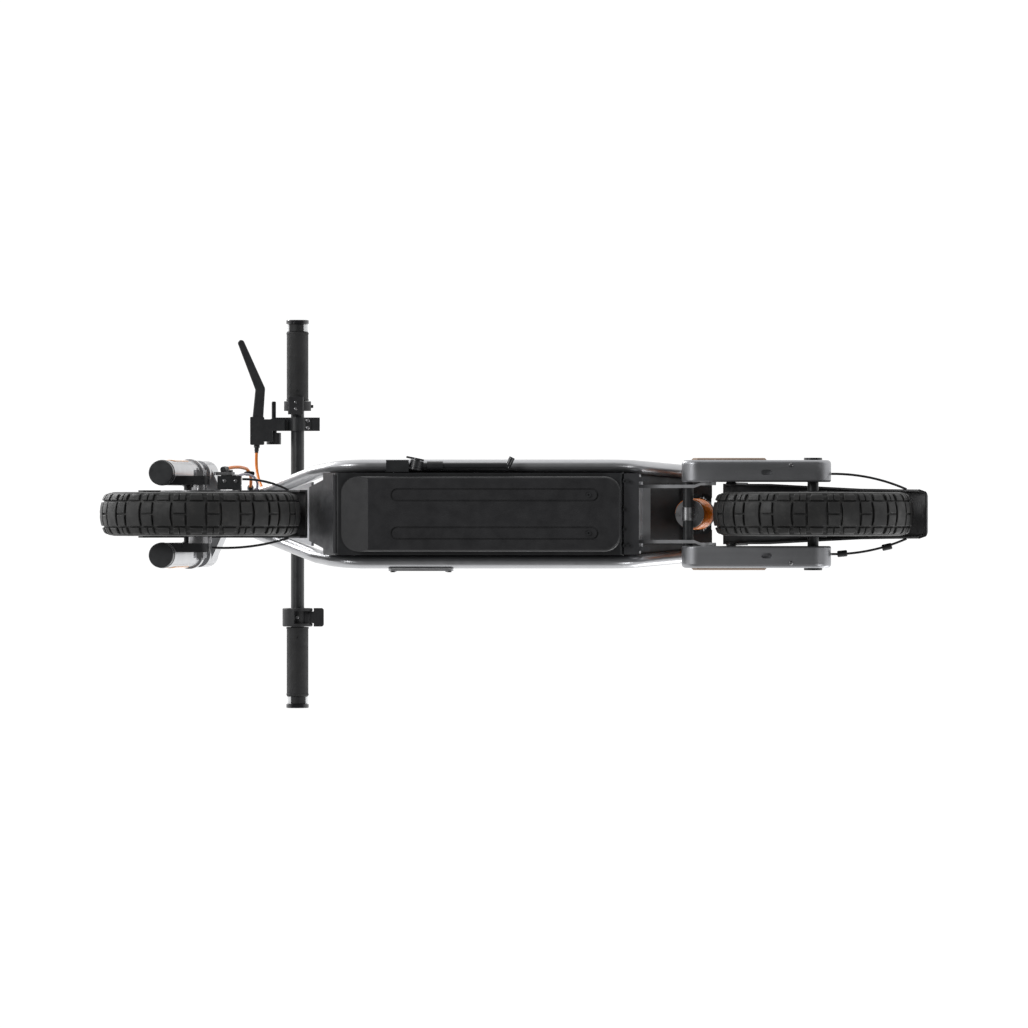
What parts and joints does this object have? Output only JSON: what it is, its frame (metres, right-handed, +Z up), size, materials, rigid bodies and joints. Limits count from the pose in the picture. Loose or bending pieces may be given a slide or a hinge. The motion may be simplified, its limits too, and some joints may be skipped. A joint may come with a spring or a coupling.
{
  "type": "electric kick scooter",
  "caption": "Folding electric kick scooter with a sprung fork, a hub motor on a sprung swingarm, a ribbed deck, fenders, a side stand and a straight handlebar.",
  "frame": {"origin": "on the ground under the middle of the overall length, on the centre line", "axes": "+X forward, +Y to the rider's left, +Z up"},
  "size_m": [1.2592, 0.6436, 1.2408],
  "materials": {
    "black_plastic": "satin moulded, fine grain",
    "gloss_black": "glossy",
    "black_paint": "satin black coating",
    "silver_paint": "satin silver lacquer",
    "grey_metal": "fine brushed, clear coated",
    "dark_panel": "satin graphite coating",
    "chrome": "polished",
    "steel": "machined",
    "alloy": "satin",
    "orange_coat": "glossy powder coat",
    "orange_sleeve": "smooth cable housing",
    "grey_sleeve": "smooth cable jacket",
    "grip_rubber": "textured",
    "mat_rubber": "ribbed",
    "tyre_rubber": "moulded tread",
    "red_lens": "clear red",
    "cell_wrap": "shrink wrap",
    "copper_steel": "laminations and windings",
    "amber_edge": "amber tinted"
  },
  "bodies": {
    "frame": {"frame_tubes": "silver_paint", "head_tube": "silver_paint", "headset_bearings": "steel", "pivot_bracket": "dark_panel", "tail_plate": "black_paint", "frame_bolts": "steel", "deck_tray": "black_paint", "battery_cover": "black_plastic", "battery_pack": "cell_wrap", "controller": "alloy", "deck_plate": "black_paint", "deck_mat": "mat_rubber", "deck_screws": "black_paint", "front_panel": "dark_panel", "stand_bracket": "black_paint", "side_guard": "silver_paint", "shock_body": "black_paint", "shock_spring": "orange_coat"},
    "steering": {"fork_crown": "silver_paint", "stanchions": "chrome", "fold_base": "black_paint", "fold_pin": "steel"},
    "fork_lowers": {"fork_legs": "silver_paint", "fork_feet": "black_paint", "front_axle": "steel", "front_fender": "black_plastic", "brake_caliper": "black_paint", "brake_cable": "orange_sleeve", "sensor_lead": "grey_sleeve"},
    "caliper_arm": {"caliper_arm": "steel"},
    "front_wheel": {"front_rim": "black_paint", "front_tyre": "tyre_rubber", "brake_rotor": "steel"},
    "swingarm": {"swingarm": "silver_paint", "rear_arms": "grey_metal", "arm_covers": "amber_edge", "rear_shafts": "black_paint", "rear_fender": "black_plastic", "tail_light": "red_lens", "motor_stator": "copper_steel"},
    "rear_wheel": {"motor_rim": "black_paint", "rear_tyre": "tyre_rubber"},
    "shock_rod": {"shock_rod": "steel"},
    "stem": {"stem": "black_paint", "headlight": "black_plastic", "dashboard": "gloss_black", "handlebar": "black_paint", "grips": "grip_rubber", "bar_ends": "gloss_black", "switch_box": "black_plastic", "brake_perch": "black_paint", "throttle_housing": "black_plastic", "lever_cable": "orange_sleeve"},
    "fold_latch": {"fold_latch": "alloy"},
    "power_button": {"power_button": "gloss_black"},
    "turn_switch": {"turn_switch": "black_plastic"},
    "brake_lever": {"brake_lever": "black_paint"},
    "bell_striker": {"bell_striker": "black_paint"},
    "throttle_paddle": {"throttle_paddle": "black_plastic"},
    "kickstand": {"kickstand": "black_paint"}
  },
  "joints": [
    {"name": "steer", "type": "hinge", "parent": "frame", "child": "steering", "pos_m": [0.533, 0, 0], "axis": [-0.1736, 0, 0.9848], "range_deg": [-45, 45], "deforming": ["brake_cable", "sensor_lead"]},
    {"name": "fork_slide", "type": "slide", "parent": "steering", "child": "fork_lowers", "axis": [-0.1736, 0, 0.9848], "range_m": [0, 0.03], "stiffness_N_per_m": 15000, "springref_m": -0.01, "deforming": ["brake_cable", "sensor_lead"]},
    {"name": "front_spin", "type": "hinge", "parent": "fork_lowers", "child": "front_wheel", "pos_m": [0.477, 0, 0.1525], "axis": [0, 1, 0], "continuous": true},
    {"name": "brake_arm", "type": "hinge", "parent": "fork_lowers", "child": "caliper_arm", "pos_m": [0.433, 0.0615, 0.1745], "axis": [0, -1, 0], "range_deg": [0, 25.5]},
    {"name": "swing", "type": "hinge", "parent": "frame", "child": "swingarm", "pos_m": [-0.1836, 0, 0.17], "axis": [0, 1, 0], "range_deg": [0, 7], "stiffness_Nm_per_rad": 413, "springref_deg": -5.73},
    {"name": "rear_spin", "type": "hinge", "parent": "swingarm", "child": "rear_wheel", "pos_m": [-0.4545, 0, 0.1525], "axis": [0, 1, 0], "continuous": true},
    {"name": "shock_slide", "type": "slide", "parent": "frame", "child": "shock_rod", "axis": [-0.1772, 0, 0.9842], "range_m": [0, 0.0105], "deforming": ["shock_spring"]},
    {"name": "stem_fold", "type": "hinge", "parent": "steering", "child": "stem", "pos_m": [0.38579, 0, 0.63905], "axis": [0, -1, 0], "range_deg": [0, 100]},
    {"name": "latch", "type": "hinge", "parent": "stem", "child": "fold_latch", "pos_m": [0.45201, 0, 0.66088], "axis": [0, 1, 0], "range_deg": [0, 70]},
    {"name": "button_press", "type": "slide", "parent": "stem", "child": "power_button", "axis": [0.1736, 0, -0.9848], "range_m": [0, 0.0015], "stiffness_N_per_m": 400, "springref_m": -0.002},
    {"name": "turn_slide", "type": "slide", "parent": "stem", "child": "turn_switch", "axis": [0, 1, 0], "range_m": [-0.003, 0.003]},
    {"name": "brake_pull", "type": "hinge", "parent": "stem", "child": "brake_lever", "pos_m": [0.42511, 0.152, 1.195], "axis": [0, 0, 1], "range_deg": [0, 14], "stiffness_Nm_per_rad": 1.2, "springref_deg": -8.59},
    {"name": "bell_flick", "type": "hinge", "parent": "stem", "child": "bell_striker", "pos_m": [0.39891, 0.15, 1.219], "axis": [0, 0, 1], "range_deg": [0, 8], "stiffness_Nm_per_rad": 0.05, "springref_deg": -5.73},
    {"name": "throttle_push", "type": "hinge", "parent": "stem", "child": "throttle_paddle", "pos_m": [0.35911, -0.1713, 1.205], "axis": [0, -1, 0], "range_deg": [0, 35], "stiffness_Nm_per_rad": 0.2, "springref_deg": -5.73},
    {"name": "stand_swing", "type": "hinge", "parent": "frame", "child": "kickstand", "pos_m": [0.148, 0.076, 0.1365], "axis": [0.2079, -0.9781, 0], "range_deg": [0, 112]}
  ],
  "couplings": [
    {"joint": "shock_slide", "follows": "swing", "m_per_rad": 0.0833},
    {"joint": "brake_arm", "follows": "brake_pull", "ratio": 1.8}
  ]
}
